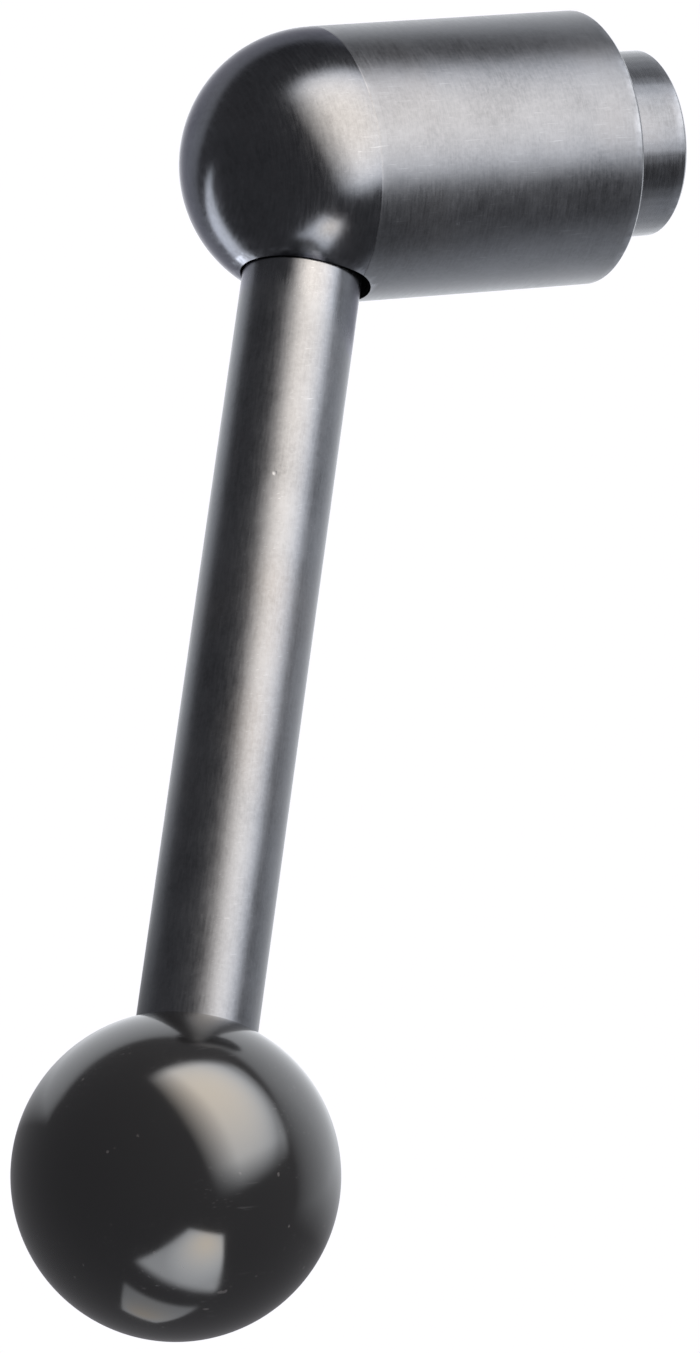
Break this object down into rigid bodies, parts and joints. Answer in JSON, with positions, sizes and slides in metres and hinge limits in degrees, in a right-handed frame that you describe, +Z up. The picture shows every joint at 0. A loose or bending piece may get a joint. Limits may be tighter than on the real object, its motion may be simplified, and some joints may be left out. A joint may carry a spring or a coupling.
{
  "type": "indexing clamping lever",
  "caption": "Indexing lever: domed steel hub that lifts and turns on a spring-loaded toothed insert with an internal thread, with a straight round arm and a ball knob.",
  "frame": {"origin": "centre of the threaded insert's outer face, on the hub's axis", "axes": "+X out of the thread along the hub's axis, +Z up with the arm hanging down in the XZ plane, leaning towards the dome"},
  "size_m": [0.0899, 0.032, 0.13],
  "materials": {
    "hub_steel": "blackened, fine turned",
    "insert_steel": "blackened, fine turned",
    "arm_steel": "blackened, ground",
    "ring_steel": "hardened, oiled",
    "washer_steel": "bright, oiled",
    "spring_steel": "drawn wire, oiled",
    "collar_bronze": "turned bronze",
    "knob_plastic": "high gloss",
    "bush_brass": "turned"
  },
  "bodies": {
    "insert": {"threaded_insert": "insert_steel", "thrust_washer": "washer_steel", "return_spring": "spring_steel"},
    "collar": {"guide_collar": "collar_bronze"},
    "lever": {"hub_shell": "hub_steel", "tooth_ring": "ring_steel", "snap_ring": "spring_steel", "lever_arm": "arm_steel", "ball_knob": "knob_plastic", "knob_bush": "bush_brass"}
  },
  "joints": [
    {"name": "lift", "type": "slide", "parent": "insert", "child": "collar", "axis": [-1, 0, 0], "range_m": [0, 0.0046], "stiffness_N_per_m": 1530, "springref_m": -0.0075, "deforming": ["return_spring"]},
    {"name": "index", "type": "hinge", "parent": "collar", "child": "lever", "pos_m": [-0.02, 0, 0], "axis": [1, 0, 0], "continuous": true}
  ]
}
